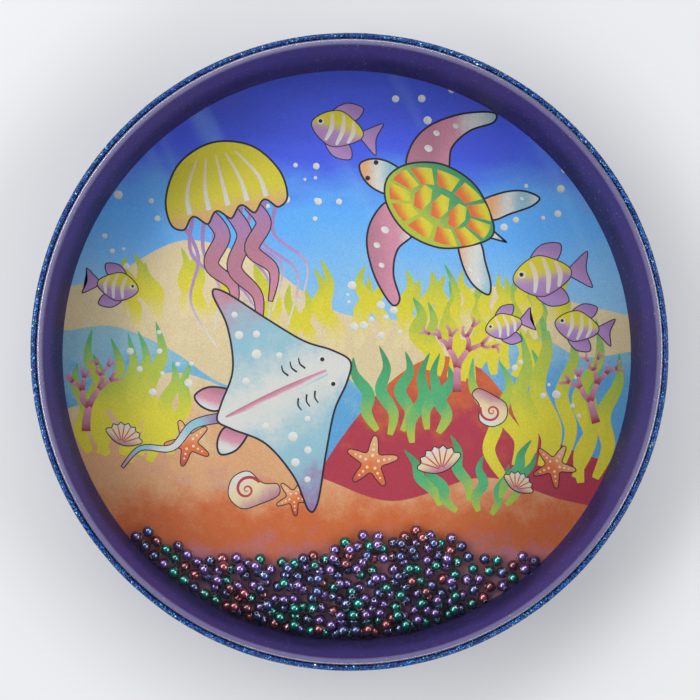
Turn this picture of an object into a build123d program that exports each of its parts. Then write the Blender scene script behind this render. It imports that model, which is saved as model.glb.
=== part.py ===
"""Ocean drum lying flat: a shallow shell closed by two film heads, with a load of loose beads inside.

The drum's axis is +Z. The origin is on that axis, at the foot of the lower, printed head. The beads lie as
they come to rest when the drum was last tipped towards -Y.
"""

from build123d import *
from math import asin, atan2, cos, degrees, dist, hypot, radians, sin, sqrt, tau
from random import Random
import os

# Shell: a bent fibre ring, in millimetres
CHAMBER_DIAMETER = 292.1
DRUM_DEPTH = 57.0
SHELL_WALL = 2.8
RIM_INNER_ROUND = 0.7
RIM_OUTER_ROUND = 0.9

# Heads: polyester film laid over each rim, its collar glued down the outside of the shell
FILM = 0.25
COLLAR_DEPTH = 25.0
GLUE_LINE = 0.05

# Wrap: a soft glittered strip taped round the outside, its ends butted at a seam
WRAP_TAPE = 0.2
WRAP_THICKNESS = 3.05
WRAP_SETBACK = 1.5
WRAP_EDGE_ROUND = 1.3
WRAP_SEAM = 0.6
WRAP_SEAM_BEARING = 62.0

# Beads: bored pearls, a few of them at each end of the heap free to run off along the wall
BEAD_DIAMETER = 6.0
BEAD_BORE = 1.2
BEAD_GAP = 0.3
BED_COUNT = 176
CREST_COUNT = 72
RUNNER_COUNT = 12

# How the heap came to rest: its lean round the wall, and an edge that swells on one side and thins on the other
HEAP_LEAN = -5.0
HEAP_SWELL = 10.0
HEAP_WAVE = 200.0
HEAP_LOOSENESS = 0.35
HEAP_ROUGHNESS = 8.0
CREST_SCATTER = 50.0
COLOUR_DECK = ["violet"] * 4 + ["emerald"] * 3 + ["navy"] * 3 + ["copper"] * 2
HEAP_SEED = 3
ROUNDING = 1e-6

# Radii and heights that follow from the sizes above
chamber_radius = CHAMBER_DIAMETER / 2
shell_radius = chamber_radius + SHELL_WALL
shell_foot = FILM + GLUE_LINE
shell_top = DRUM_DEPTH - FILM - GLUE_LINE
mid_plane = Plane.XY.offset(DRUM_DEPTH / 2)
collar_radius = shell_radius + GLUE_LINE
fold_inside = RIM_OUTER_ROUND + GLUE_LINE
fold_outside = fold_inside + FILM
flat_radius = collar_radius - fold_inside
wrap_inside = collar_radius + FILM + WRAP_TAPE
wrap_outside = wrap_inside + WRAP_THICKNESS
bead_radius = BEAD_DIAMETER / 2
bead_pitch = BEAD_DIAMETER + BEAD_GAP
orbit = chamber_radius - BEAD_GAP - bead_radius
bed_height = FILM + BEAD_GAP + bead_radius
diagonal = sin(radians(45))
seam_half_turn = degrees(asin(WRAP_SEAM / 2 / wrap_outside))
strip_end = radians(WRAP_SEAM_BEARING + seam_half_turn)
lean = radians(HEAP_LEAN)

os.makedirs("parts", exist_ok=True)


def save(piece, name):
    """Label a finished piece and write it under that name."""
    piece.label = name
    export_step(piece, f"parts/{name}.step")


# Shell: a straight ring with its rims rounded where the films turn over them
with BuildPart() as shell:
    with BuildSketch(Plane.XZ) as wall_section:
        with BuildLine():
            Polyline(
                (chamber_radius, shell_foot),
                (shell_radius, shell_foot),
                (shell_radius, shell_top),
                (chamber_radius, shell_top),
                close=True,
            )
        make_face()
        fillet(wall_section.vertices().group_by(Axis.X)[-1], RIM_OUTER_ROUND)
        fillet(wall_section.vertices().group_by(Axis.X)[0], RIM_INNER_ROUND)
    revolve(axis=Axis.Z)
save(shell.part, "shell")

# Clear head: the flat, see-through playing face
with BuildPart() as clear_head:
    with BuildSketch(Plane.XY.offset(DRUM_DEPTH - FILM)):
        Circle(flat_radius)
    extrude(amount=FILM)
save(clear_head.part, "clear_head")

# Clear head's collar: the same film from where it leaves the flat, over the rim and down the shell
with BuildPart() as clear_head_collar:
    with BuildSketch(Plane.XZ):
        with BuildLine():
            collar_foot = DRUM_DEPTH - COLLAR_DEPTH
            fold_level = DRUM_DEPTH - fold_outside
            outer_middle = (flat_radius + fold_outside * diagonal, fold_level + fold_outside * diagonal)
            inner_middle = (flat_radius + fold_inside * diagonal, fold_level + fold_inside * diagonal)
            Line((flat_radius, DRUM_DEPTH - FILM), (flat_radius, DRUM_DEPTH))
            ThreePointArc((flat_radius, DRUM_DEPTH), outer_middle, (collar_radius + FILM, fold_level))
            Line((collar_radius + FILM, fold_level), (collar_radius + FILM, collar_foot))
            Line((collar_radius + FILM, collar_foot), (collar_radius, collar_foot))
            Line((collar_radius, collar_foot), (collar_radius, fold_level))
            ThreePointArc((collar_radius, fold_level), inner_middle, (flat_radius, DRUM_DEPTH - FILM))
        make_face()
    revolve(axis=Axis.Z)
save(clear_head_collar.part, "clear_head_collar")

# Printed head and its collar: the same film turned over, on the foot of the drum
with BuildPart() as printed_head:
    mirror(clear_head.part, about=mid_plane)
save(printed_head.part, "printed_head")

with BuildPart() as printed_head_collar:
    mirror(clear_head_collar.part, about=mid_plane)
save(printed_head_collar.part, "printed_head_collar")

# Glitter wrap: a thick soft strip with rolled edges, bent round from one side of its seam to the other
strip_end_plane = Plane(
    (0, 0, 0),
    x_dir=(cos(strip_end), sin(strip_end), 0),
    z_dir=(sin(strip_end), -cos(strip_end), 0),
)
with BuildPart() as glitter_wrap:
    with BuildSketch(strip_end_plane) as strip_section:
        with BuildLine():
            Polyline(
                (wrap_inside, WRAP_SETBACK),
                (wrap_outside, WRAP_SETBACK),
                (wrap_outside, DRUM_DEPTH - WRAP_SETBACK),
                (wrap_inside, DRUM_DEPTH - WRAP_SETBACK),
                close=True,
            )
        make_face()
        fillet(strip_section.vertices(), WRAP_EDGE_ROUND)
    revolve(axis=Axis.Z, revolution_arc=360 - 2 * seam_half_turn)
save(glitter_wrap.part, "glitter_wrap")

# One bead: a pearl with a straight bore
with BuildPart() as bead:
    with BuildSketch(Plane.XZ):
        with BuildLine():
            bore_end = sqrt(bead_radius**2 - (BEAD_BORE / 2) ** 2)
            ThreePointArc((BEAD_BORE / 2, -bore_end), (bead_radius, 0), (BEAD_BORE / 2, bore_end))
            Line((BEAD_BORE / 2, bore_end), (BEAD_BORE / 2, -bore_end))
        make_face()
    revolve(axis=Axis.Z)

chance = Random(HEAP_SEED)


def crossings(centre_a, reach_a, centre_b, reach_b):
    """The two points that lie at given reaches from two centres, if there are any."""
    span = dist(centre_a, centre_b)
    along = (span**2 + reach_a**2 - reach_b**2) / (2 * span)
    if abs(along) >= reach_a:
        return []
    aside = sqrt(reach_a**2 - along**2)
    ux = (centre_b[0] - centre_a[0]) / span
    uy = (centre_b[1] - centre_a[1]) / span
    foot = (centre_a[0] + ux * along, centre_a[1] + uy * along)
    return [(foot[0] - uy * side, foot[1] + ux * side) for side in (aside, -aside)]


def lift(place):
    """How high up the leaning heap a bead would lie, less the swell of the heap's edge there."""
    return place[1] - HEAP_SWELL * sin(tau * place[0] / HEAP_WAVE)


def settle_bed():
    """Lay the beads one by one, each in the lowest pocket left between two beads or a bead and the wall."""
    bed = []
    pockets = [(-orbit, (0.0, -orbit))]
    while len(bed) < BED_COUNT:
        pockets.sort()
        spot = pockets.pop(0)[1]
        found = []
        for other in bed:
            if dist(spot, other) < 2 * (bead_pitch + HEAP_LOOSENESS):
                reaches = [bead_pitch + chance.uniform(0, HEAP_LOOSENESS) for _ in range(2)]
                found += crossings(spot, reaches[0], other, reaches[1])
        found += crossings(spot, bead_pitch + chance.uniform(0, HEAP_LOOSENESS), (0.0, 0.0), orbit)
        bed.append(spot)
        pockets += [(lift(place) + chance.uniform(0, HEAP_ROUGHNESS), place) for place in found]
        pockets = [
            pocket
            for pocket in pockets
            if hypot(*pocket[1]) <= orbit + ROUNDING
            and all(dist(pocket[1], taken) >= bead_pitch for taken in bed)
        ]
    return bed


def middle_of(a, b, c):
    """The point as far from one of three beads as from the others."""
    double_area = 2 * (a[0] * (b[1] - c[1]) + b[0] * (c[1] - a[1]) + c[0] * (a[1] - b[1]))
    squares = [point[0] ** 2 + point[1] ** 2 for point in (a, b, c)]
    x = squares[0] * (b[1] - c[1]) + squares[1] * (c[1] - a[1]) + squares[2] * (a[1] - b[1])
    y = squares[0] * (c[0] - b[0]) + squares[1] * (a[0] - c[0]) + squares[2] * (b[0] - a[0])
    return (x / double_area, y / double_area)


def hollows_between(carriers, everyone):
    """The hollows where a bead can sit on three carriers, with no other bead in its way."""
    hollows = []
    for first in carriers:
        near = [other for other in carriers if first < other and dist(first, other) < 2 * bead_pitch]
        for second in near:
            for third in near:
                if second < third and dist(second, third) < 2 * bead_pitch:
                    place = middle_of(first, second, third)
                    reach = dist(place, first)
                    if all(dist(place, other) > reach - ROUNDING for other in everyone):
                        hollows.append((place[0], place[1], reach))
    return hollows


def settle_crest(carriers, everyone):
    """Drop the last beads onto the deepest part of the bed, each into a hollow between three carriers."""

    def depth(hollow):
        return dist(hollow[:2], (0, -orbit)) + chance.uniform(0, CREST_SCATTER)

    crest = []
    for x, y, reach in sorted(hollows_between(carriers, everyone), key=depth):
        rise = sqrt(max(bead_pitch**2 - reach**2, 0))
        perch = (x, y, bed_height + rise)
        seated = rise > bead_radius and hypot(x, y) < orbit
        if seated and len(crest) < CREST_COUNT and all(dist(perch, taken) >= bead_pitch for taken in crest):
            crest.append(perch)
    return crest


def bearing(place):
    """How far round the wall a bead lies from the heap's lowest point, anticlockwise from above."""
    return atan2(place[0], -place[1])


def deal_colours(places):
    """Hand the beads of one group out by colour, from a shuffled deck that holds every colour."""
    hands = {colour: [] for colour in COLOUR_DECK}
    deck = []
    for place in places:
        if not deck:
            deck = chance.sample(COLOUR_DECK, len(COLOUR_DECK))
        hands[deck.pop()].append(place)
    return hands


# The heap: a bed one bead deep, a crest on top of it, and a few runners at each end along the wall
bed_places = sorted(settle_bed(), key=bearing)
left_runners = bed_places[:RUNNER_COUNT]
right_runners = bed_places[-RUNNER_COUNT:]
bed_middle = bed_places[RUNNER_COUNT:-RUNNER_COUNT]
groups = {
    "bed": [(x, y, bed_height) for x, y in bed_middle],
    "crest": settle_crest(bed_middle, bed_places),
    "left_runner": [(x, y, bed_height) for x, y in left_runners],
    "right_runner": [(x, y, bed_height) for x, y in right_runners],
}

for group, places in groups.items():
    for colour, hand in deal_colours(places).items():
        spots = []
        for x, y, z in hand:
            turned = (x * cos(lean) - y * sin(lean), x * sin(lean) + y * cos(lean), z)
            roll = tuple(chance.uniform(0, 180) for _ in range(3))
            spots.append(Location(turned, roll))
        with BuildPart() as beads:
            with Locations(*spots):
                add(bead.part, clean=False)
        save(beads.part, f"{group}_{colour}_beads")
    print(group, len(places), "beads")

crest_hop = DRUM_DEPTH - FILM - BEAD_GAP - bead_radius - max(z for x, y, z in groups["crest"])
print("crest beads can rise", round(crest_hop, 2), "mm")
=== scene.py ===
"""Ocean drum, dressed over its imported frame: shell, film heads, glitter strip, sea print and pearls.

The drum lies flat on its printed head, with its axis on +Z. Lengths are in metres, and the drawings of the
printed picture are in millimetres.
"""

from itertools import count
from math import asin, atan2, cos, hypot, pi, radians, sin, tau
from random import Random

import bmesh
import bpy
from bpy.props import FloatProperty, FloatVectorProperty, IntProperty, PointerProperty
from mathutils import Matrix, Vector, noise
from mathutils.geometry import interpolate_bezier


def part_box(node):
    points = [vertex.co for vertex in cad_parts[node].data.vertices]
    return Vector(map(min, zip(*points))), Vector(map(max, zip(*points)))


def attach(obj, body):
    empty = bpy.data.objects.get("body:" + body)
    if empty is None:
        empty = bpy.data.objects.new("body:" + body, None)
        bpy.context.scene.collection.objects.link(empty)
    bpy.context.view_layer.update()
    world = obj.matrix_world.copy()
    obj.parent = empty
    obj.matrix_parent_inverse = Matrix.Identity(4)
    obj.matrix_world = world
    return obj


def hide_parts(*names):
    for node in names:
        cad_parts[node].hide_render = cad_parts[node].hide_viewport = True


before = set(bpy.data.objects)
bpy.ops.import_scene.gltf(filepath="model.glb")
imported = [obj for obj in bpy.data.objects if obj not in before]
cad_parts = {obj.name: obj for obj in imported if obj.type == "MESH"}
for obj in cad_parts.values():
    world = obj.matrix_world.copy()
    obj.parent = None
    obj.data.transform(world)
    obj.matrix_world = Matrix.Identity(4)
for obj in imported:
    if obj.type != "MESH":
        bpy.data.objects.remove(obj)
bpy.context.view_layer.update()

bl_info = {
    "name": "Ocean Drum",
    "version": (1, 0, 0),
    "blender": (4, 5, 0),
    "location": "View3D > Sidebar > Ocean Drum",
    "description": "Dresses an ocean drum: shell, heads, glitter strip, sea print, pearls and stage",
    "category": "Object",
}


def reach(node, pick):
    """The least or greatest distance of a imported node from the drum's axis."""
    return pick(hypot(corner.co.x, corner.co.y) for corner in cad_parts[node].data.vertices)


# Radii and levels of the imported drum
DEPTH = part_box("clear_head")[1][2]
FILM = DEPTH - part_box("clear_head")[0][2]
SHELL_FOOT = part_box("shell")[0][2]
SHELL_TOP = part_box("shell")[1][2]
CHAMBER = reach("shell", min)
SHELL_OUTSIDE = reach("shell", max)
COLLAR = reach("clear_head_collar", max)
COLLAR_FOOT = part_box("clear_head_collar")[0][2]
STRIP_INSIDE = reach("glitter_wrap", min)
STRIP_OUTSIDE = reach("glitter_wrap", max)
STRIP_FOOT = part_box("glitter_wrap")[0][2]
STRIP_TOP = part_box("glitter_wrap")[1][2]
SEAM_BEARING = radians(62)

# The print runs a little way under the wall, and slopes up to the fold of its film over a narrow step
PICTURE = CHAMBER + 0.0008
PICTURE_STEP = 0.0004

# One millimetre of a drawing, in metres
MM = 0.001

# Depths under a rim's top where its lavender starts and where it is full
RIM_START = 0.0019
RIM_FULL = 0.0004

# Width over which the clear film bends at the rim
FOLD_WIDTH = 0.001

# Steps of a full turn of the shell and the films
RING_STEPS = 224

# What is left of an ink's colour under the film, and the tones of its grain
INK_TINT = (0.76, 0.71, 0.58, 1.0)
BLACK = (0, 0, 0, 1)
WHITE = (1, 1, 1, 1)

# Share of an ink's step by which it also reaches lower than the ink before, for the view from below
FOOT_SHARE = 0.6


def paint(code):
    """A colour from its six-digit code, as the linear values that a shader takes."""
    shares = [int(code[start : start + 2], 16) / 255 for start in (0, 2, 4)]
    return tuple(share / 12.92 if share <= 0.04045 else ((share + 0.055) / 1.055) ** 2.4 for share in shares)


def length_property(label, words, default):
    """A length that a user may change."""
    return FloatProperty(name=label, description=words, default=default, min=0, precision=5, unit="LENGTH")


def colour_property(label, words, code):
    """A colour that a user may change."""
    return FloatVectorProperty(
        name=label, description=words, default=paint(code), size=3, min=0, max=1, subtype="COLOR"
    )


class DrumSizes(bpy.types.PropertyGroup):
    """Sizes of the finish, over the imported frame."""

    rim_round: length_property("Rim round", "Round of the shell's edges under the films", 0.0012)
    fold_round: length_property("Fold round", "Outer round of a film where it turns over the rim", 0.0012)
    strip_round: length_property("Strip round", "Round of the glitter strip's edges", 0.00135)
    strip_dent: length_property("Strip dent", "How deep the strip's foam gives between high spots", 0.00022)
    seam: length_property("Seam", "Gap between the butted ends of the glitter strip", 0.00015)
    flake_room: length_property("Flake room", "How far the strip's face lies behind its flakes", 0.00015)
    flake: length_property("Flake", "Width of a loose glitter flake", 0.0006)
    ink_step: length_property("Ink step", "Height of one printed ink over the one before", 0.0000004)
    ink_line: length_property("Ink line", "Width of the dark line round a printed animal", 0.001)
    recess: length_property("Recess", "How far the printed film's underside lies behind its inks", 0.00014)
    flakes: IntProperty(name="Flakes", description="Number of loose glitter flakes", default=3600, min=0)


class DrumColours(bpy.types.PropertyGroup):
    """Colours of the lacquer, glitter, pearls and inks."""

    lacquer: colour_property("Lacquer", "Purple of the shell", "372d67")
    lacquer_shade: colour_property("Lacquer shade", "Deeper purple in the lacquer's mottling", "261c50")
    # The rim's lavender is partly its own tone under the bonded film and partly a painted sheen.
    rim: colour_property("Rim", "Lavender where the lacquer thins over the rim", "6a6188")
    glitter: colour_property("Glitter", "Main blue of the glitter strip", "164e9e")
    glitter_deep: colour_property("Glitter deep", "Navy between the flakes", "0d1c56")
    glitter_light: colour_property("Glitter light", "Cyan of the brighter flakes", "58c0e8")
    violet: colour_property("Violet pearl", "Middle tone of the violet pearls", "8465a8")
    emerald: colour_property("Emerald pearl", "Middle tone of the emerald pearls", "06907c")
    navy: colour_property("Navy pearl", "Middle tone of the navy pearls", "4e5a8c")
    copper: colour_property("Copper pearl", "Middle tone of the copper pearls", "9e4c50")
    sea_deep: colour_property("Deep sea", "Ultramarine at the top of the picture", "3e55d6")
    sea_bright: colour_property("Bright sea", "Azure of the lit water", "5cacf0")
    sea_pale: colour_property("Pale sea", "Light blue of water over sand", "94cbea")
    sand: colour_property("Sand", "Cream of the dunes", "e0d4b2")
    peach: colour_property("Peach", "Warm shade of the dunes", "dfae84")
    rose: colour_property("Rose", "Pink lavender of the shaded sand", "b97f9f")
    reef: colour_property("Reef", "Crimson of the reef", "b23450")
    ember: colour_property("Ember", "Orange of the sea floor", "dc7238")
    lemon: colour_property("Lemon", "Yellow of weed and jellyfish", "e0dc38")
    lime: colour_property("Lime", "Yellow green of the weed", "b4cc48")
    leaf: colour_property("Leaf", "Green of the weed's tips", "4fb882")
    lilac: colour_property("Lilac", "Lilac of arms and shades", "a886cc")
    mist: colour_property("Mist", "Blue white of pale skins and bubbles", "dde6f0")
    line: colour_property("Line", "Dark ink of the outlines", "17162a")


def sizes():
    """The sizes set in the panel."""
    return bpy.context.scene.drum_sizes


def colour(name, share=1.0):
    """A colour set in the panel, deeper where the share is under one and lighter where it is over."""
    return (*(min(1.0, part * share) for part in getattr(bpy.context.scene.drum_colours, name)), 1.0)


class Value:
    """A number that varies over a surface, for use in plain expressions."""

    def __init__(self, finish, socket):
        self.finish = finish
        self.socket = socket

    def combine(self, operation, first, second):
        return self.finish.node("ShaderNodeMath", {"operation": operation}, {0: first, 1: second})

    def __add__(self, other):
        return self.combine("ADD", self, other)

    def __radd__(self, other):
        return self.combine("ADD", other, self)

    def __sub__(self, other):
        return self.combine("SUBTRACT", self, other)

    def __rsub__(self, other):
        return self.combine("SUBTRACT", other, self)

    def __mul__(self, other):
        return self.combine("MULTIPLY", self, other)

    def __rmul__(self, other):
        return self.combine("MULTIPLY", other, self)


class Finish:
    """A material and the nodes that make it."""

    def __init__(self, name):
        self.material = bpy.data.materials.new(name)
        self.material.use_nodes = True
        self.tree = self.material.node_tree
        self.tree.nodes.clear()
        self.place = self.node("ShaderNodeTexCoord", output="Object")

    def node(self, kind, settings=None, sockets=None, output=0):
        """Add a node, set it up, fill its sockets, and give one of its outputs."""
        made = self.tree.nodes.new(kind)
        for key, setting in (settings or {}).items():
            if key == "stops":
                while len(made.color_ramp.elements) < len(setting):
                    made.color_ramp.elements.new(1.0)
                for stop, (position, tone) in zip(made.color_ramp.elements, setting):
                    stop.position = position
                    stop.color = tone
            elif key == "easing":
                made.color_ramp.interpolation = setting
            else:
                setattr(made, key, setting)
        for key, filling in (sockets or {}).items():
            if isinstance(filling, Value):
                self.tree.links.new(filling.socket, made.inputs[key])
            else:
                made.inputs[key].default_value = filling
        return Value(self, made.outputs[output]) if made.outputs else None

    def noise(self, scale, detail=2.0, rough=0.5, place=None):
        """Cloudy variation from 0 to 1, so many lumps to the metre."""
        sockets = {"Vector": place or self.place, "Scale": scale, "Detail": detail, "Roughness": rough}
        return self.node("ShaderNodeTexNoise", None, sockets)

    def spread(self, value, low, high):
        """A value stretched so that low gives 0 and high gives 1, smoothly."""
        settings = {"interpolation_type": "SMOOTHSTEP"}
        return self.node("ShaderNodeMapRange", settings, {"Value": value, "From Min": low, "From Max": high})

    def mapped(self, place=None, **how):
        """A place that is scaled or turned."""
        return self.node("ShaderNodeMapping", None, {"Vector": place or self.place, **how})

    def attribute(self, name):
        """A number that the corners of the piece carry."""
        return self.node("ShaderNodeAttribute", {"attribute_name": name}, output="Fac")

    def vector(self, operation, first, second=(0, 0, 0)):
        """Two vectors combined."""
        return self.node("ShaderNodeVectorMath", {"operation": operation}, {0: first, 1: second})

    def ramp(self, value, stops, easing="EASE"):
        """Colours laid along a value."""
        return self.node("ShaderNodeValToRGB", {"stops": stops, "easing": easing}, {"Fac": value})

    def mix(self, share, first, second, blend="MIX"):
        """Two colours mixed by a share."""
        settings = {"data_type": "RGBA", "blend_type": blend, "clamp_factor": True}
        return self.node("ShaderNodeMix", settings, {0: share, 6: first, 7: second}, output=2)

    def axis(self, name, place=None):
        """One coordinate of a place."""
        return self.node("ShaderNodeSeparateXYZ", None, {0: place or self.place}, output=name)

    def bump(self, height, depth, strength=1.0):
        """A normal for small relief of a depth in metres."""
        return self.node("ShaderNodeBump", None, {"Height": height, "Distance": depth, "Strength": strength})

    def done(self, sockets):
        """End with a plain surface shader, and give the material."""
        shader = self.node("ShaderNodeBsdfPrincipled", None, sockets)
        self.node("ShaderNodeOutputMaterial", None, {"Surface": shader})
        return self.material

    def printed(self, tone):
        """End as ink on film, with a fine grain in its tone and its gloss."""
        grain = self.noise(2200, 2, 0.6)
        flecks = self.ramp(grain, [(0.25, BLACK), (0.75, WHITE)])
        tone = self.mix(0.16, tone, flecks, "OVERLAY")
        return self.done({"Base Color": tone, "Roughness": 0.34 + 0.14 * grain, "Coat Weight": 0.2})


def lacquer_finish():
    """Purple lacquer on a fibre shell, lavender over the rims partly as a painted sheen, with painted light
    up the inner wall, fine runs and dust.
    """
    finish = Finish("purple_lacquer")
    level = finish.axis("Z")
    cloud = finish.noise(45, 4, 0.6)
    drift = finish.noise(26, 3, 0.55, finish.mapped(Scale=(1, 1, 0.12)))
    body = finish.mix(finish.spread(cloud, 0.3, 0.72), colour("lacquer_shade"), colour("lacquer"))
    body = finish.mix(finish.spread(drift, 0.5, 0.75) * 0.3, body, colour("lacquer", 1.5))
    # Painted light: the inner wall turns lighter towards its top, where more light reaches into the drum.
    light = finish.spread(level + 0.012 * cloud, 0.022, 0.05)
    body = finish.mix(light * 0.7, body, colour("lacquer", 2.1))
    # Lavender over the rims: partly the rim's own paler tone under the bonded film, partly a painted sheen
    # of the film over the rim.
    high = finish.spread(level, SHELL_TOP - RIM_START, SHELL_TOP - RIM_FULL)
    low = finish.spread(SHELL_FOOT - level, -RIM_START, -RIM_FULL)
    rim = high + low
    rim_tone_and_painted_sheen = rim * (0.7 + 0.5 * finish.noise(240, 3, 0.6))
    body = finish.mix(rim_tone_and_painted_sheen, body, colour("rim"))
    dust = finish.spread(finish.noise(900, 1, 0.5), 0.715, 0.745)
    body = finish.mix(dust * 0.4, body, colour("mist"))
    peel = finish.noise(900, 2, 0.5)
    return finish.done(
        {
            "Base Color": body,
            "Roughness": 0.5 + 0.14 * cloud + 0.2 * dust - 0.2 * rim,
            "Specular IOR Level": 0.1,
            "Normal": finish.bump(peel, 0.00006, 0.35),
        }
    )


def film_finish():
    """Clear polyester film: it lets light through, and shows gloss, faint haze and hairline scuffs."""
    finish = Finish("clear_film")
    slope = finish.node("ShaderNodeLayerWeight", None, {"Blend": 0.5}, output="Facing")
    slope = slope * slope
    gloss = 0.006 + 0.5 * slope * slope
    haze = finish.spread(finish.noise(14, 3, 0.6), 0.3, 0.8)
    hair = finish.spread(finish.noise(38, 2, 0.5, finish.mapped(Scale=(1, 26, 1))), 0.66, 0.74)
    speck = finish.spread(finish.noise(1300, 1, 0.5), 0.775, 0.8)
    x = finish.axis("X")
    y = finish.axis("Y")
    fold = finish.spread(x * x + y * y, CHAMBER**2, (CHAMBER + FOLD_WIDTH) ** 2)
    share = gloss + 0.003 * haze + 0.006 * hair + 0.03 * speck + 0.08 * fold
    skin = finish.node(
        "ShaderNodeBsdfPrincipled",
        None,
        {
            "Base Color": (0.93, 0.94, 0.97, 1.0),
            "Metallic": 1.0,
            "Roughness": 0.03 + 0.03 * haze + 0.17 * fold,
        },
    )
    through = finish.node("ShaderNodeBsdfTransparent", None, {"Color": (0.99, 0.99, 1.0, 1.0)})
    both = finish.node("ShaderNodeMixShader", None, {0: share, 1: through, 2: skin})
    finish.node("ShaderNodeOutputMaterial", None, {"Surface": both})
    return finish.material


def sea_finish():
    """The printed film's ground: water that pales from ultramarine, with slanting light and grain."""
    finish = Finish("printed_sea")
    height = finish.axis("Y")
    swell = finish.noise(13, 4, 0.55, finish.mapped(Scale=(1, 2.2, 1)))
    depth = finish.spread(height, 0.15, 0.0) + 0.55 * (swell - 0.5)
    stops = [
        (0.0, colour("sea_deep", 0.8)),
        (0.2, colour("sea_deep")),
        (0.52, colour("sea_bright", 0.85)),
        (1.0, colour("sea_pale", 0.75)),
    ]
    water = finish.ramp(depth, stops)
    slant = finish.mapped(Rotation=(0, 0, radians(-24)))
    slant = finish.mapped(slant, Scale=(1, 0.08, 1))
    rays = finish.spread(finish.noise(42, 2, 0.5, slant), 0.54, 0.76) * finish.spread(height, 0.0, 0.13)
    water = finish.mix(rays * 0.4, water, colour("sea_pale"))
    water = finish.mix(finish.spread(finish.noise(18, 2), 0.55, 0.8) * 0.3, water, colour("lilac", 0.55))
    return finish.printed(water)


def ink_finish(name, tones, turn=0.0, cloudiness=0.5):
    """An airbrushed ink whose tones run along the printed shape, clouded and grained."""
    finish = Finish("ink_" + name)
    spot = finish.node("ShaderNodeUVMap", {"uv_map": "tone"})
    run = cos(turn) * finish.axis("Y", spot) + sin(turn) * finish.axis("X", spot)
    cloud = finish.noise(70, 4, 0.6)
    fine = finish.noise(420, 3, 0.6)
    along = run + cloudiness * (cloud - 0.5) + 0.12 * (fine - 0.5)
    stops = [(place / max(1, len(tones) - 1), tone) for place, tone in enumerate(tones)]
    tone = finish.mix(1.0, finish.ramp(along, stops), INK_TINT, "MULTIPLY")
    return finish.printed(tone)


INK_TONES = {
    "line": (["line", ("line", 1.6)], 0.0, 0.8),
    "sand": (["peach", "sand", "sand", ("sand", 1.12)], 0.0, 0.55),
    "rose_sand": (["rose", "rose", "peach", "sand"], 0.0, 0.6),
    "reef": ([("reef", 0.6), "reef", "reef", ("ember", 0.9)], 0.0, 0.7),
    "floor": ([("lilac", 0.5), "rose", ("ember", 0.9), "peach"], 0.0, 0.5),
    "pool": (["sea_deep", "sea_bright", "sea_bright", "sea_pale"], 0.0, 0.5),
    "weed": (["lemon", "lemon", "lime", "leaf"], 0.0, 0.35),
    "pale_weed": ([("sand", 1.1), "lemon", "lime"], 0.0, 0.4),
    "green_weed": (["lime", "leaf", ("leaf", 0.7)], 0.0, 0.4),
    "skin": (["mist", "sea_pale", "mist", ("peach", 1.1)], 1.2, 0.3),
    "blush": (["sea_pale", "mist", ("rose", 1.4), "rose"], 0.9, 0.3),
    "back": ([("leaf", 0.55), ("leaf", 0.8), "lime"], 0.6, 0.4),
    "plate": (["lime", "lemon", ("ember", 1.1)], 0.8, 0.5),
    "wing": ([("lilac", 0.8), "sea_pale", "mist", "sea_pale", ("rose", 1.2)], 0.0, 0.3),
    "bell": (["peach", "lemon", "lemon", ("lemon", 1.2)], 0.0, 0.3),
    "arm": (["lilac", "rose", ("rose", 1.35)], 0.0, 0.4),
    "thread": ([("lilac", 0.9), ("lilac", 1.2), "mist"], 0.0, 0.4),
    "scale": (["reef", ("reef", 1.25), ("rose", 1.2)], 0.0, 0.4),
    "flank": (["lilac", ("lilac", 1.2), "lemon", "lemon"], 0.0, 0.3),
    "band": (["mist", ("sand", 1.15)], 0.0, 0.3),
    "star": (["reef", ("ember", 1.05), ("peach", 1.1)], 0.5, 0.5),
    "fin": (["sea_bright", ("lilac", 1.2), "lilac"], 0.5, 0.4),
    "find": (["rose", ("sand", 1.1), "mist"], 0.0, 0.4),
    "coral": ([("reef", 0.8), ("rose", 1.1), ("rose", 1.5)], 0.0, 0.4),
    "bubble": (["sea_pale", "mist", ("mist", 1.1)], 0.4, 0.3),
    "mist_mark": ([("mist", 0.9), ("mist", 1.1)], 0.4, 0.3),
}


def inks(names):
    """The inks of these names, made when they are first asked for."""
    found = []
    for name in names:
        material = bpy.data.materials.get("ink_" + name)
        if material is None:
            tones, turn, cloudiness = INK_TONES[name]
            mixed = [colour(tone) if isinstance(tone, str) else colour(*tone) for tone in tones]
            material = ink_finish(name, mixed, turn, cloudiness)
        found.append(material)
    return found


def glitter_finish():
    """Blue glitter set in clear vinyl: each small cell has its own tint and leans its own way."""
    finish = Finish("blue_glitter")
    sockets = {"Vector": finish.place, "Scale": 1900.0, "Randomness": 1.0}
    cell = finish.node("ShaderNodeTexVoronoi", {"feature": "F1"}, sockets, output="Color")
    pick = finish.axis("X", cell)
    stops = [
        (0.0, colour("glitter_deep")),
        (0.2, colour("glitter", 0.55)),
        (0.42, colour("glitter", 0.85)),
        (0.72, colour("glitter", 1.2)),
        (0.88, colour("glitter_light", 0.6)),
        (0.94, colour("lacquer", 3.5)),
        (0.955, colour("emerald", 1.6)),
        (0.972, colour("mist", 0.8)),
    ]
    tint = finish.ramp(pick, stops, "CONSTANT")
    patch = finish.noise(120, 3, 0.6)
    tint = finish.mix(finish.spread(patch, 0.45, 0.75) * 0.55, tint, colour("glitter_deep"))
    lean = finish.vector("SUBTRACT", cell, (0.5, 0.5, 0.5))
    lean = finish.vector("MULTIPLY", lean, (1.1, 1.1, 1.1))
    straight = finish.node("ShaderNodeNewGeometry", output="Normal")
    facing = finish.vector("NORMALIZE", finish.vector("ADD", straight, lean))
    return finish.done(
        {
            "Base Color": tint,
            "Metallic": 0.75,
            "Roughness": 0.2 + 0.2 * finish.axis("Y", cell),
            "Coat Weight": 0.3,
            "Normal": facing,
        }
    )


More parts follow.
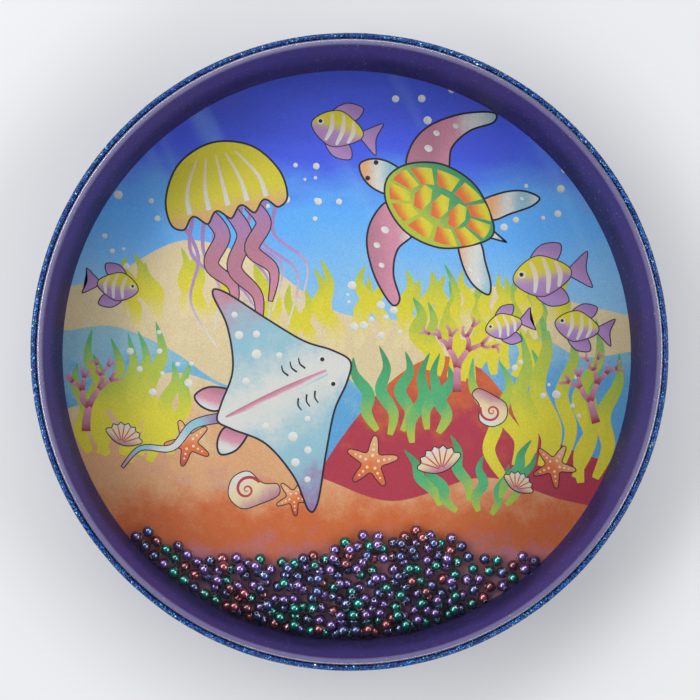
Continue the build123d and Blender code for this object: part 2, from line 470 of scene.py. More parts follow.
def flake_finish():
    """Loose cut flakes, from azure to silver, told apart by the tint that each flake carries."""
    finish = Finish("cut_flakes")
    tint = finish.attribute("tint")
    stops = [
        (0.0, colour("glitter", 0.8)),
        (0.3, colour("glitter", 1.4)),
        (0.66, colour("glitter_light", 0.65)),
        (0.88, colour("mist", 0.75)),
        (0.96, colour("emerald", 1.6)),
        (0.98, colour("lilac")),
    ]
    shade = finish.ramp(tint, stops, "CONSTANT")
    rub = finish.noise(1800, 2, 0.5)
    return finish.done({"Base Color": shade, "Metallic": 0.9, "Roughness": 0.14 + 0.16 * rub})


def pearl_finish(name):
    """Pearl lacquer on a bead: each bead has its own tone and a sheen, with painted shade towards its
    outline and in its bore, and a painted highlight round the bore's lip.
    """
    finish = Finish(name + "_pearl")
    tint = finish.attribute("tint")
    cloud = finish.noise(520, 3, 0.55)
    along = tint + 0.3 * (cloud - 0.5)
    stops = [(0.0, colour(name, 0.65)), (0.45, colour(name)), (1.0, colour(name, 1.45))]
    tone = finish.ramp(along, stops)
    # Painted shade: the tone deepens towards each bead's outline, where its rim would reflect the dark drum.
    edge = finish.node("ShaderNodeLayerWeight", None, {"Blend": 0.35}, output="Facing")
    tone = finish.mix(edge * 1.5, tone, colour(name, 0.12))
    # Painted highlight: a pale, less metallic ring round the bore's lip, where the lip would catch the
    # light.
    mouth = finish.attribute("mouth")
    bore_lip_painted_highlight = finish.spread(mouth, 0.9, 0.925)
    tone = finish.mix(bore_lip_painted_highlight * 0.75, tone, colour("mist"))
    # Painted shade: the inside of the bore is darkened.
    tone = finish.mix(finish.spread(mouth, 0.965, 0.975), tone, colour(name, 0.05))
    return finish.done(
        {
            "Base Color": tone,
            "Metallic": 0.8 - 0.4 * bore_lip_painted_highlight,
            "Roughness": 0.18 + 0.1 * cloud,
            "Coat Weight": 1.0,
            "Coat Roughness": 0.06,
            "Coat IOR": 1.8,
        }
    )


def floor_finish():
    """Pale studio paper with a faint tooth."""
    finish = Finish("studio_paper")
    tooth = finish.noise(700, 3, 0.6)
    cloud = finish.noise(1.5, 2, 0.5)
    tone = finish.mix(cloud, (0.62, 0.62, 0.63, 1.0), (0.66, 0.66, 0.665, 1.0))
    relief = finish.bump(tooth, 0.0001, 0.2)
    return finish.done({"Base Color": tone, "Roughness": 0.75 + 0.1 * tooth, "Normal": relief})


def meshed(bm, name, materials=()):
    """Turn a bmesh into a mesh with its materials, and let the bmesh go."""
    mesh = bpy.data.meshes.new(name)
    bm.to_mesh(mesh)
    bm.free()
    for material in materials:
        mesh.materials.append(material)
    return mesh


def shown(name, data):
    """Put a mesh, a lamp or a camera in the scene."""
    thing = bpy.data.objects.new(name, data)
    bpy.context.scene.collection.objects.link(thing)
    return thing


def finished(bm, name, materials, body="drum", stands_for=(), crease=35):
    """Turn a bmesh into a piece of the drum that rides on a body."""
    bmesh.ops.recalc_face_normals(bm, faces=bm.faces)
    mesh = meshed(bm, name, materials)
    mesh.shade_smooth()
    mesh.set_sharp_from_angle(angle=radians(crease))
    piece = shown(name, mesh)
    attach(piece, body)
    if stands_for:
        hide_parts(*stands_for)
    return piece


def section(outline, rounds, segments=5):
    """The outline of a ring's section in the XZ plane, with chosen corners rounded, as bare edges."""
    bm = bmesh.new()
    corners = [bm.verts.new((radius, 0, level)) for radius, level in outline]
    bm.faces.new(corners)
    for corner, size in rounds.items():
        bmesh.ops.bevel(
            bm,
            geom=[corners[corner]],
            affect="VERTICES",
            offset=size,
            segments=segments,
            profile=0.5,
            material=-1,
        )
    bmesh.ops.delete(bm, geom=list(bm.faces), context="FACES_ONLY")
    return bm


def bent(bm, steps, angle):
    """Spin a section round the drum's axis, closed where it goes all the way."""
    bmesh.ops.spin(
        bm,
        geom=[*bm.verts, *bm.edges],
        cent=(0, 0, 0),
        axis=(0, 0, 1),
        dvec=(0, 0, 0),
        angle=angle,
        steps=steps,
        use_merge=angle == tau,
    )
    bmesh.ops.remove_doubles(bm, verts=bm.verts, dist=1e-7)


def turned(bm, steps):
    """Turn a section all the way round the drum's axis."""
    on_axis = [edge for edge in bm.edges if all(end.co.x < 1e-9 for end in edge.verts)]
    bmesh.ops.delete(bm, geom=on_axis, context="EDGES")
    bent(bm, steps, tau)
    return bm


def head_film(recess=0.0):
    """A film stretched flat, folded over the rim and led down the shell, with its face sunk by a recess."""
    outline = [
        (0, DEPTH - recess),
        (PICTURE, DEPTH - recess),
        (PICTURE + PICTURE_STEP, DEPTH),
        (COLLAR, DEPTH),
        (COLLAR, COLLAR_FOOT),
        (COLLAR - FILM, COLLAR_FOOT),
        (COLLAR - FILM, DEPTH - FILM),
        (0, DEPTH - FILM),
    ]
    fold = sizes().fold_round
    return turned(section(outline, {3: fold, 6: fold - FILM}, 6), RING_STEPS)


class ShellOperator(bpy.types.Operator):
    """Turn the lacquered shell"""

    bl_idname = "ocean_drum.shell"
    bl_label = "Shell"

    def execute(self, context):
        outline = [
            (CHAMBER, SHELL_FOOT),
            (SHELL_OUTSIDE, SHELL_FOOT),
            (SHELL_OUTSIDE, SHELL_TOP),
            (CHAMBER, SHELL_TOP),
        ]
        shell = turned(section(outline, dict.fromkeys(range(4), sizes().rim_round)), RING_STEPS)
        finished(shell, "lacquered_shell", [lacquer_finish()], stands_for=["shell"])
        return {"FINISHED"}


class HeadsOperator(bpy.types.Operator):
    """Stretch the clear film over the top and the printed film under the foot"""

    bl_idname = "ocean_drum.heads"
    bl_label = "Heads"

    def execute(self, context):
        clear = ["clear_head", "clear_head_collar"]
        finished(head_film(), "clear_film_head", [film_finish()], stands_for=clear)
        printed = head_film(sizes().recess)
        turn_over = Matrix.Translation((0, 0, DEPTH)) @ Matrix.Scale(-1, 4, (0, 0, 1))
        bmesh.ops.transform(printed, matrix=turn_over, verts=printed.verts)
        under = ["printed_head", "printed_head_collar"]
        finished(printed, "printed_film_head", [sea_finish()], stands_for=under)
        return {"FINISHED"}


class GlitterOperator(bpy.types.Operator):
    """Bend the foam-backed glitter strip round the shell, and scatter loose flakes on it"""

    bl_idname = "ocean_drum.glitter"
    bl_label = "Glitter strip"

    strip_steps = 300
    wall_cuts = 11
    bare_depth = 0.0006
    edge_share = 4
    flake_lean = 0.45
    flake_lift = 0.00002
    flake_thickness = 0.00003

    def execute(self, context):
        strip = self.strip()
        flakes = self.flakes(strip)
        band = finished(strip, "glitter_strip", [glitter_finish()], stands_for=["glitter_wrap"])
        finished(flakes, "glitter_flakes", [flake_finish()])
        return {"FINISHED"}

    def strip(self):
        """The strip from one side of its seam to the other, its foam a little uneven."""
        dent = sizes().strip_dent
        outline = [
            (STRIP_INSIDE, STRIP_FOOT),
            (STRIP_OUTSIDE - sizes().flake_room, STRIP_FOOT),
            (STRIP_OUTSIDE - sizes().flake_room, STRIP_TOP),
            (STRIP_INSIDE, STRIP_TOP),
        ]
        bm = section(outline, dict.fromkeys(range(4), sizes().strip_round), 6)
        walls = [edge for edge in bm.edges if edge.calc_length() > 0.01]
        bmesh.ops.subdivide_edges(bm, edges=walls, cuts=self.wall_cuts)
        half_gap = sizes().seam / 2 / STRIP_OUTSIDE
        begin = Matrix.Rotation(SEAM_BEARING + half_gap, 4, "Z")
        bmesh.ops.transform(bm, matrix=begin, verts=bm.verts)
        bent(bm, self.strip_steps, tau - 2 * half_gap)
        bmesh.ops.holes_fill(bm, edges=[edge for edge in bm.edges if edge.is_boundary], sides=0)
        for corner in bm.verts:
            out = corner.co.xy.length
            broad = noise.noise(corner.co * 90)
            fine = noise.noise(corner.co * 310)
            give = 0.5 + 0.5 * broad * 0.7 + 0.5 * fine * 0.3
            share = max(0.0, (out - STRIP_INSIDE) / (STRIP_OUTSIDE - STRIP_INSIDE))
            corner.co.xy *= 1 - dent * give * share / out
            corner.co.z += (DEPTH / 2 - corner.co.z) / (DEPTH / 2) * dent * 0.7 * give
        return bm

    def flakes(self, strip):
        """Small six-sided flakes lying on the strip, most of them on its rolled edges."""
        chance = Random(31)
        bmesh.ops.recalc_face_normals(strip, faces=strip.faces)
        hidden = STRIP_INSIDE + self.bare_depth
        bare = [side for side in strip.faces if side.calc_center_median().xy.length > hidden]
        bare.sort(key=lambda side: side.calc_center_median().to_tuple(6))
        weights = [side.calc_area() * (self.edge_share if abs(side.normal.z) > 0.2 else 1) for side in bare]
        bm = bmesh.new()
        tint = bm.verts.layers.float.new("tint")
        for side in chance.choices(bare, weights, k=sizes().flakes):
            corners = sorted(corner.co.to_tuple(6) for corner in side.verts)
            shares = [chance.random() for _ in corners]
            pulls = [Vector(corner) * share for corner, share in zip(corners, shares)]
            spot = sum(pulls, Vector()) / sum(shares)
            lean = Vector([chance.uniform(-self.flake_lean, self.flake_lean) for _ in range(3)])
            facing = (side.normal + lean).normalized()
            turn = facing.to_track_quat("Z", "Y").to_matrix().to_4x4()
            turn = Matrix.Translation(spot + facing * self.flake_lift) @ turn
            width = sizes().flake * chance.uniform(0.6, 1.1) / 2
            tone = chance.random()
            flake = []
            for corner in range(6):
                vert = bm.verts.new(turn @ polar(width, corner * tau / 6).to_3d())
                vert[tint] = tone
                flake.append(vert)
            bm.faces.new(flake)
        bmesh.ops.solidify(bm, geom=list(bm.faces), thickness=self.flake_thickness)
        return bm


ink_layers = count(1)


def polar(far, way):
    """A point of a drawing, so far from its origin and at this bearing."""
    return Vector((far * cos(way), far * sin(way)))


def placed(x, y, turn=0.0, size=1.0, flip=False):
    """Where a drawing in millimetres goes on the film."""
    scale = Matrix.Diagonal((MM * size, -MM * size if flip else MM * size, 1, 1))
    return Matrix.Translation((x * MM, y * MM, 0)) @ Matrix.Rotation(radians(turn), 4, "Z") @ scale


def flowing(points, closed=True, steps=7):
    """Points along a smooth line through a few given ones."""
    spots = [Vector(point) for point in points]
    last = len(spots) - 1
    line = []
    for place in range(len(spots) if closed else last):
        if closed:
            before, start, end, after = (spots[(place + step) % len(spots)] for step in (-1, 0, 1, 2))
        else:
            before, start, end, after = (spots[min(max(place + step, 0), last)] for step in (-1, 0, 1, 2))
        first_pull = start + (end - before) / 6
        second_pull = end - (after - start) / 6
        line += interpolate_bezier(start, first_pull, second_pull, end, steps + 1)[:-1]
    return line if closed else [*line, spots[-1]]


def ribbon(points, start, end, swell, steps):
    """The outline of a band along a smooth line, from one half width to another, and its tones."""
    line = flowing(points, closed=False, steps=steps)
    last = len(line) - 1
    sides = ([], [])
    tones = ([], [])
    for place, spot in enumerate(line):
        ahead = line[min(place + 1, last)] - line[max(place - 1, 0)]
        share = place / last
        half = start + (end - start) * share + swell * sin(pi * share)
        aside = Vector((-ahead.y, ahead.x)).normalized() * half
        for way, side in enumerate(sides):
            side.append(spot + aside * (1 - 2 * way))
            tones[way].append((way, share))
    return sides[0] + sides[1][::-1], tones[0] + tones[1][::-1]


def ring(x, y, radius, corners, squeeze=1.0):
    """A round outline."""
    turns = [corner * tau / corners for corner in range(corners)]
    return [Vector((x + radius * cos(turn), y + radius * squeeze * sin(turn))) for turn in turns]


def mirrored(points):
    """An outline on the other side of its drawing's X axis."""
    return [(x, -y) for x, y in points]


def both_sides(points):
    """The whole outline of a drawing from the half on one side of its X axis."""
    return points + mirrored(points[1:-1])[::-1]


class Print:
    """A printed motif: flat inks pressed through the film, each lying on those before it."""

    def __init__(self, name, *inks_used):
        self.name = name
        self.inks = ["line", *inks_used]
        self.bm = bmesh.new()
        self.tone = self.bm.loops.layers.uv.new("tone")
        self.place = placed(0, 0)

    def press(self, outline, ink, line=0.0, tones=None):
        """Press one outline in an ink, with a dark line of some width round it."""
        layer = next(ink_layers)
        spots = [Vector(point) for point in outline]
        low = Vector((min(spot.x for spot in spots), min(spot.y for spot in spots)))
        high = Vector((max(spot.x for spot in spots), max(spot.y for spot in spots)))
        spread = high - low
        tones = tones or [((spot.x - low.x) / spread.x, (spot.y - low.y) / spread.y) for spot in spots]
        corners = []
        for spot in spots:
            place = (self.place @ spot.to_3d()).to_2d()
            if place.length > PICTURE:
                place = place.normalized() * PICTURE
            corners.append(self.bm.verts.new((place.x, place.y, FILM + layer * sizes().ink_step)))
        face = self.bm.faces.new(corners)
        face.normal_update()
        face.material_index = self.inks.index(ink)
        for loop, tone in zip(face.loops, tones):
            loop[self.tone].uv = tone
        edging = []
        if line:
            made = bmesh.ops.inset_individual(
                self.bm, faces=[face], thickness=line, use_even_offset=False, use_interpolate=True
            )
            edging = made["faces"]
            for side in edging:
                side.material_index = 0
        block = bmesh.ops.extrude_face_region(self.bm, geom=[face, *edging])
        foot = sizes().recess - layer * sizes().ink_step * FOOT_SHARE
        for part in block["geom"]:
            if isinstance(part, bmesh.types.BMVert):
                part.co.z = foot

    def band(self, points, start, end, ink, line=0.0, swell=0.0, steps=7):
        """Press a band along a smooth line, with its tones running along it."""
        outline, tones = ribbon(points, start, end, swell, steps)
        self.press(outline, ink, line, tones)

    def dot(self, x, y, radius, ink, corners=10, squeeze=1.0):
        """Press a round spot."""
        self.press(ring(x, y, radius, corners, squeeze), ink)

    def done(self):
        """Make the motif a piece of the drum."""
        return finished(self.bm, "print_" + self.name, inks(self.inks), crease=20)


class SeaFloorOperator(bpy.types.Operator):
    """Print the dunes, the reef and the pools between them"""

    bl_idname = "ocean_drum.sea_floor"
    bl_label = "Sea floor"

    banks = [
        (
            "sand",
            [
                (-160, 30),
                (-122, 40),
                (-84, 58),
                (-44, 46),
                (-8, 22),
                (30, 18),
                (66, 34),
                (100, 30),
                (160, 16),
            ],
        ),
        ("pool", [(-160, 6), (-124, 14), (-92, 2), (-64, -16), (-30, -22), (-2, -12), (20, -40)]),
        ("pool", [(58, -40), (72, 2), (96, 10), (122, -2), (160, 4)]),
        ("rose_sand", [(-160, -34), (-124, -22), (-90, -10), (-56, -22), (-26, -44), (0, -70)]),
        ("reef", [(-30, -90), (-8, -50), (18, -18), (44, -2), (68, -8), (88, -30), (116, -50), (160, -62)]),
        (
            "floor",
            [(-160, -66), (-112, -60), (-70, -70), (-24, -62), (22, -76), (70, -64), (112, -76), (160, -84)],
        ),
    ]

    shore_steps = 48
    shore_gap = 0.5

    def execute(self, context):
        edge = PICTURE / MM
        for place, (ink, crest) in enumerate(self.banks):
            bank = Print(f"bank_{place + 1}_{ink}", ink)
            line = flowing(crest, closed=False, steps=9)
            ridge = [spot for spot in line if spot.length < edge - self.shore_gap]
            start = atan2(ridge[-1].y, ridge[-1].x)
            end = atan2(ridge[0].y, ridge[0].x)
            sweep = (end - tau if end > 0 else end) - start
            turns = [start + sweep * step / self.shore_steps for step in range(self.shore_steps + 1)]
            bank.press([*ridge, *(polar(edge, turn) for turn in turns)], ink)
            bank.done()
        return {"FINISHED"}


class WeedOperator(bpy.types.Operator):
    """Print the thickets of weed"""

    bl_idname = "ocean_drum.weed"
    bl_label = "Weed"

    thickets = [
        ("far_left", "pale_weed", (-86, 14), 46, 9, 40, 4.2),
        ("belt", "pale_weed", (2, 2), 96, 15, 46, 4.6),
        ("ridge", "weed", (66, -12), 52, 10, 54, 4.6),
        ("left", "weed", (-112, -52), 44, 9, 66, 5.0),
        ("middle", "green_weed", (30, -44), 30, 6, 44, 3.8),
        ("right", "weed", (104, -62), 46, 9, 76, 5.2),
        ("far_right", "pale_weed", (84, 8), 50, 9, 34, 3.8),
        ("front", "green_weed", (66, -78), 34, 7, 34, 3.4),
    ]

    def execute(self, context):
        chance = Random(5)
        for name, ink, root, spread, blades, height, width in self.thickets:
            thicket = Print("weed_" + name, ink)
            for blade in range(blades):
                share = blade / (blades - 1) - 0.5
                x = root[0] + spread * share + chance.uniform(-2, 2)
                y = root[1] + chance.uniform(-5, 5)
                tall = height * (1 - 0.9 * share * share) * chance.uniform(0.75, 1.15)
                lean = 26 * share + chance.uniform(-8, 8)
                sway = chance.choice((-1, 1)) * tall * chance.uniform(0.05, 0.09)
                stem = [(0, 0), (sway, 0.25), (-0.6 * sway, 0.5), (0.8 * sway, 0.76), (0, 1)]
                line = [(x + lean * up + side, y + tall * up) for side, up in stem]
                swell = width * chance.uniform(0.45, 0.7)
                thicket.band(line, width * 0.35, 0.15, ink, swell=swell)
            thicket.done()
        return {"FINISHED"}


class TurtleOperator(bpy.types.Operator):
    """Print the sea turtle"""

    bl_idname = "ocean_drum.turtle"
    bl_label = "Turtle"

    head = [(24, -6), (33, -8.5), (42, -6), (47, 0), (42, 6), (33, 8.5), (24, 6)]
    fore = [(23, 9), (28, 20), (25, 34), (13, 48), (-2, 57), (-5, 52), (4, 42), (8, 30), (5, 17)]
    hind = [(-17, 11), (-24, 21), (-34, 28), (-44, 29), (-43, 23), (-35, 14), (-27, 6)]
    tail = [(-26, 3.4), (-33, 2), (-40, 0), (-33, -2), (-26, -3.4)]
    back = [(31, 0), (25, 12), (9, 20.5), (-10, 19.5), (-25, 10), (-32, 0)]
    plates = 11
    plate_gap = 0.09
    outer_plates = (28.3, 17.6)
    inner_plates = (17, 9.6)
    plates_middle = -0.5
    spine_plates = [9.6, -0.5, -10.6]
    spots = [(19, 24, 2.2), (19, 33, 1.8), (12, 41, 1.6), (-30, 21, 1.6), (-36, 24, 1.2)]

    def execute(self, context):
        line = sizes().ink_line
        turtle = Print("turtle", "skin", "blush", "back", "plate", "mist_mark")
        turtle.place = placed(47, 76, 152, 1.0)
        for limb in (self.tail, self.hind, mirrored(self.hind), self.head):
            turtle.press(flowing(limb), "skin", line)
        for limb in (self.fore, mirrored(self.fore)):
            turtle.press(flowing(limb), "blush", line)
        turtle.press(flowing(both_sides(self.back)), "back", line)
        for plate in range(self.plates):
            outer = self.plate_edge(plate, *self.outer_plates)
            inner = self.plate_edge(plate, *self.inner_plates)
            turtle.press(outer + inner[::-1], "plate")
        for x in self.spine_plates:
            turtle.dot(x, 0, 4.6, "plate", 6, 1.55)
        for side in (1, -1):
            for x, y, size in self.spots:
                turtle.dot(x, y * side, size, "mist_mark", squeeze=0.8)
            turtle.dot(39.5, 4.6 * side, 1.3, "line")
        turtle.done()
        return {"FINISHED"}

    def plate_edge(self, plate, along, across):
        """One edge of a plate in the ring of plates on the back."""
        start = (plate + self.plate_gap) * tau / self.plates
        end = (plate + 1 - self.plate_gap) * tau / self.plates
        turns = [start + (end - start) * step / 4 for step in range(5)]
        return [(self.plates_middle + along * cos(turn), across * sin(turn)) for turn in turns]


class RayOperator(bpy.types.Operator):
    """Print the stingray"""

    bl_idname = "ocean_drum.ray"
    bl_label = "Ray"

    edge = [(37, 0), (31, 9), (20, 19), (8, 36), (-6, 57)]
    trail = [(-12, 58), (-12, 40), (-18, 20), (-30, 7), (-35, 0)]
    fin = [(-22, 10), (-31, 17), (-40, 16), (-39, 9), (-32, 4)]
    tail = [(-30, 0), (-46, 3), (-60, -3), (-74, 3), (-86, -2)]
    ridge = [(24, 0), (6, 0), (-12, 0), (-30, 0)]
    spots = [(-4, 22, 2.4), (0, 31, 1.8), (-8, 34, 2.1), (-6, 44, 1.5), (-14, 12, 1.8), (6, 17, 1.5)]

    def execute(self, context):
        line = sizes().ink_line
        ray = Print("ray", "wing", "blush", "mist_mark")
        ray.place = placed(-34, -20, 24, 1.05)
        ray.band(self.tail, 2.8, 1.0, "wing", line * 0.5)
        for fin in (self.fin, mirrored(self.fin)):
            ray.press(flowing(fin), "blush", line)
        ray.press(flowing(both_sides(self.edge + self.trail)), "wing", line)
        ray.band(self.ridge, 1.4, 0.4, "blush", swell=1.2)
        for side in (1, -1):
            for gill in range(3):
                x = 15 - 4.5 * gill
                slit = [(x, 6 * side), (x - 1.5, 9 * side), (x - 1, 12 * side)]
                ray.band(slit, 0.5, 0.3, "line")
            for x, y, size in self.spots:
                ray.dot(x, y * side, size, "mist_mark", 12)
            ray.dot(24, 6.4 * side, 2.0, "mist_mark", 12)
            ray.dot(24.4, 6.6 * side, 1.1, "line")
        ray.done()
        return {"FINISHED"}


class JellyfishOperator(bpy.types.Operator):
    """Print the jellyfish"""

    bl_idname = "ocean_drum.jellyfish"
    bl_label = "Jellyfish"

    bell = [(-34, -3), (-33, 13), (-21, 30), (0, 37), (21, 30), (33, 13), (34, -3)]
    hem = [(27, -8), (20.5, -2), (13.5, -8), (7, -2), (0, -8), (-7, -2), (-13.5, -8), (-20.5, -2), (-27, -8)]
    hang = -2
    thread_sway = [(0, 0), (1, 0.3), (-1, 0.62), (0.6, 1)]
    arm_sway = [(0, 0), (5, 0.22), (-5, 0.45), (4, 0.7), (-2, 1)]
    arms = [(-12, 62), (0, 74), (12, 56)]
    stripes = [-22, -11, 0, 11, 22]

    def execute(self, context):
        line = sizes().ink_line
        chance = Random(9)
        jelly = Print("jellyfish", "thread", "arm", "bell", "band")
        jelly.place = placed(-62, 76, 14, 0.92)
        for thread in range(9):
            x = -28 + 7 * thread
            long = chance.uniform(58, 92)
            sway = chance.choice((-1, 1)) * chance.uniform(4, 8)
            path = [(x + sway * side, self.hang - long * down) for side, down in self.thread_sway]
            jelly.band(path, 1.2, 0.4, "thread")
        for x, long in self.arms:
            path = [(x + side, self.hang - long * down) for side, down in self.arm_sway]
            jelly.band(path, 4.2, 1.4, "arm", line * 0.6, swell=1.6)
        jelly.press(flowing(self.bell + self.hem), "bell", line)
        for x in self.stripes:
            jelly.band([(x, 0), (x * 0.92, 13), (x * 0.5, 29)], 1.5, 0.5, "band")
        jelly.done()
        return {"FINISHED"}


class FishOperator(bpy.types.Operator):
    """Print the small banded fish"""

    bl_idname = "ocean_drum.fish"
    bl_label = "Small fish"

    body = [(-16, 0), (-11, 7), (-1, 11.5), (9, 8), (16, 2.6), (16, -2.6), (9, -8), (-1, -11.5), (-11, -7)]
    tail = [(14, 0), (20, 6), (27, 10), (25, 0), (27, -10), (20, -6)]
    fin = [(-5, 9), (2, 17), (13, 16), (9, 7)]
    stripes = [(-5, 8.6), (2, 9.6), (8.5, 7)]
    school = [
        (100, 40, 8, 0.95),
        (118, 14, -10, 0.72),
        (80, 14, 14, 0.6),
        (-6, 116, -14, 0.85),
        (-118, 34, 170, 0.66),
    ]

    def execute(self, context):
        line = sizes().ink_line * 0.5
        fish = Print("small_fish", "flank", "fin", "band")
        for x, y, turn, size in self.school:
            fish.place = placed(x, y, turn, size, flip=abs(turn) > 90)
            for fin in (self.tail, self.fin, mirrored(self.fin)):
                fish.press(flowing(fin), "fin", line)
            fish.press(flowing(self.body), "flank", line)
            for along, tall in self.stripes:
                fish.band([(along, -tall), (along + 1.8, 0), (along, tall)], 0.7, 0.7, "band", swell=0.7)
            fish.dot(-10.5, 2.2, 2.2, "band", 12)
            fish.dot(-10.8, 2.2, 1.2, "line")
        fish.done()
        return {"FINISHED"}


class FindsOperator(bpy.types.Operator):
    """Print the starfish, the shells and the coral on the sea floor"""

    bl_idname = "ocean_drum.finds"
    bl_label = "Stars, shells and coral"

    stars = [(12, -56, 10, 1.0), (-82, -46, 40, 0.9), (106, -58, -12, 0.85), (-28, -74, 60, 0.7)]
    scallops = [(48, -60, 18, 0.95), (-116, -46, -20, 0.8), (86, -70, -30, 0.7)]
    whorls = [(-52, -70, 30, 0.9), (74, -30, 160, 0.75)]
    corals = [(56, -20, 0, 0.8), (-134, -40, -6, 0.8), (128, -36, 14, 0.75)]
    star_arm = [(13.4, -0.09), (13.4, 0.09), (9.2, 0.27), (5.8, tau / 10), (9.2, tau / 5 - 0.27)]
    star_dots = [(3.5, 0.8), (6.5, 0.7), (9.2, 0.55)]
    whorl = [(10, -1), (6, 9), (-4, 10), (-11, 2), (-8, -8), (2, -11), (14, -12), (17, -6)]

    def execute(self, context):
        line = sizes().ink_line * 0.5
        self.coral()
        finds = Print("stars_and_shells", "star", "find", "band", "scale")
        for x, y, turn, size in self.stars:
            finds.place = placed(x, y, turn, size)
            ways = [arm * tau / 5 for arm in range(5)]
            arms = [polar(far, way + lean) for way in ways for far, lean in self.star_arm]
            finds.press(flowing(arms, steps=4), "star", line)
            for way in ways:
                for far, size in self.star_dots:
                    finds.dot(*polar(far, way), size, "band", 8)
        for x, y, turn, size in self.scallops:
            finds.place = placed(x, y, turn, size)
            ways = [radians(15 + 150 * step / 14) for step in range(15)]
            fan = [polar(13.5 if step % 2 else 12, way) for step, way in enumerate(ways)]
            finds.press(flowing([(4, -1), *fan, (-4, -1)], steps=4), "find", line)
            for way in ways[2:-1:2]:
                finds.band([polar(1.5, way), polar(11.5, way)], 0.25, 0.5, "scale")
        for x, y, turn, size in self.whorls:
            finds.place = placed(x, y, turn, size)
            finds.press(flowing(self.whorl), "find", line)
            coil = [polar(8.6 * 0.88**step, 0.62 * step) for step in range(20)]
            finds.band(coil, 0.9, 0.3, "scale", steps=3)
        finds.done()
        return {"FINISHED"}

    def coral(self):
        """Branching coral, each twig forking in two."""
        chance = Random(17)
        fan = Print("coral", "coral")
        for x, y, turn, size in self.corals:
            fan.place = placed(x, y, turn, size)
            twigs = [(Vector((0, 0)), 90, 16, 3)]
            while twigs:
                start, way, long, thick = twigs.pop()
                end = start + polar(long, radians(way))
                bend = chance.uniform(-1.5, 1.5)
                middle = (start + end) / 2 + Vector((bend, bend))
                fan.band([start, middle, end], thick, thick * 0.72, "coral", steps=4)
                fan.press(ring(*end, thick * 0.76, 10), "coral", tones=[(0.5, 1.0)] * 10)
                if long > 7:
                    for side in (-1, 1):
                        fork = way + side * chance.uniform(18, 36)
                        twigs.append((end, fork, long * chance.uniform(0.66, 0.82), thick * 0.74))
        fan.done()


class BubblesOperator(bpy.types.Operator):
    """Print the bubbles in the water"""

    bl_idname = "ocean_drum.bubbles"
    bl_label = "Bubbles"

    streams = [
        (-104, 62, 11),
        (-20, 88, 12),
        (8, 28, 12),
        (96, 72, 9),
        (-92, -2, 9),
        (110, -18, 8),
        (40, 118, 7),
    ]

    def execute(self, context):
        chance = Random(23)
        bubbles = Print("bubbles", "bubble", "band")
        for x, y, number in self.streams:
            for _ in range(number):
                size = chance.uniform(0.7, 2.3)
                left = x + chance.gauss(0, 13)
                up = y + chance.gauss(0, 15)
                bubbles.dot(left, up, size, "bubble", 14)
                if size > 1.4:
                    bubbles.dot(left - size * 0.3, up + size * 0.35, size * 0.28, "band", 8)
        bubbles.done()
        return {"FINISHED"}


class PearlsOperator(bpy.types.Operator):
    """Thread a bored pearl into the place of each packed bead"""

    bl_idname = "ocean_drum.pearls"
    bl_label = "Pearls"

    bodies = {
        "bed": "bead_bed",
        "crest": "bead_crest",
        "left_runner": "left_runners",
        "right_runner": "right_runners",
    }
    bore_share = 0.2
    rows = 5
    columns = 12

    def execute(self, context):
        chance = Random(3)
        for shade in ("violet", "emerald", "navy", "copper"):
            finish = pearl_finish(shade)
            for group, body in self.bodies.items():
                node = f"{group}_{shade}_beads"
                heap = bmesh.new()
                tint = heap.verts.layers.float.new("tint")
                mouth = heap.verts.layers.float.new("mouth")
                for centre, along, radius in self.spots(node):
                    first = len(heap.verts)
                    heap.from_mesh(self.pearl(radius))
                    heap.verts.ensure_lookup_table()
                    fresh = heap.verts[first:]
                    turn = along.to_track_quat("Z", "Y").to_matrix().to_4x4()
                    tone = chance.random()
                    for corner in fresh:
                        corner[tint] = tone
                        corner[mouth] = abs(corner.co.z) / radius
                        corner.co = centre + (turn @ corner.co)
                finished(heap, f"{shade}_pearls_{group}", [finish], body, [node], crease=50)
        return {"FINISHED"}

    def pearl(self, radius):
        """One pearl with its thread bore, kept for the next one of its size."""
        name = f"pearl_{radius:.4f}"
        kept = bpy.data.meshes.get(name)
        if kept is None:
            low = asin(self.bore_share)
            bm = bmesh.new()
            turns = [low + (pi - 2 * low) * row / self.rows for row in range(self.rows + 1)]
            corners = [bm.verts.new((radius * sin(turn), 0, -radius * cos(turn))) for turn in turns]
            for start, end in zip(corners, corners[1:] + corners[:1]):
                bm.edges.new((start, end))
            turned(bm, self.columns)
            bmesh.ops.recalc_face_normals(bm, faces=bm.faces)
            kept = meshed(bm, name)
        return kept

    def spots(self, node):
        """The centre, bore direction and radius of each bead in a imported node."""
        bm = bmesh.new()
        bm.from_mesh(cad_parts[node].data)
        bmesh.ops.remove_doubles(bm, verts=bm.verts, dist=1e-6)
        left = set(bm.verts)
        found = []
        while left:
            front = [left.pop()]
            bead = []
            while front:
                corner = front.pop()
                bead.append(corner)
                for edge in corner.link_edges:
                    other = edge.other_vert(corner)
                    if other in left:
                        left.remove(other)
                        front.append(other)
            low = Vector([min(corner.co[way] for corner in bead) for way in range(3)])
            high = Vector([max(corner.co[way] for corner in bead) for way in range(3)])
            centre = (low + high) / 2
            radius = round(max((corner.co - centre).length for corner in bead), 5)
            sides = {side for corner in bead for side in corner.link_faces}
            inside = radius * 0.8
            bore = [side for side in sides if (side.calc_center_median() - centre).length < inside]
            rim = [corner.co - centre for side in bore for corner in side.verts]
            along = sum((spot if spot.dot(rim[0]) > 0 else -spot for spot in rim), Vector()).normalized()
            if along.z < 0:
                along.negate()
            found.append((centre, along, radius))
        bm.free()
        found.sort(key=lambda bead: tuple(bead[0]))
        return found


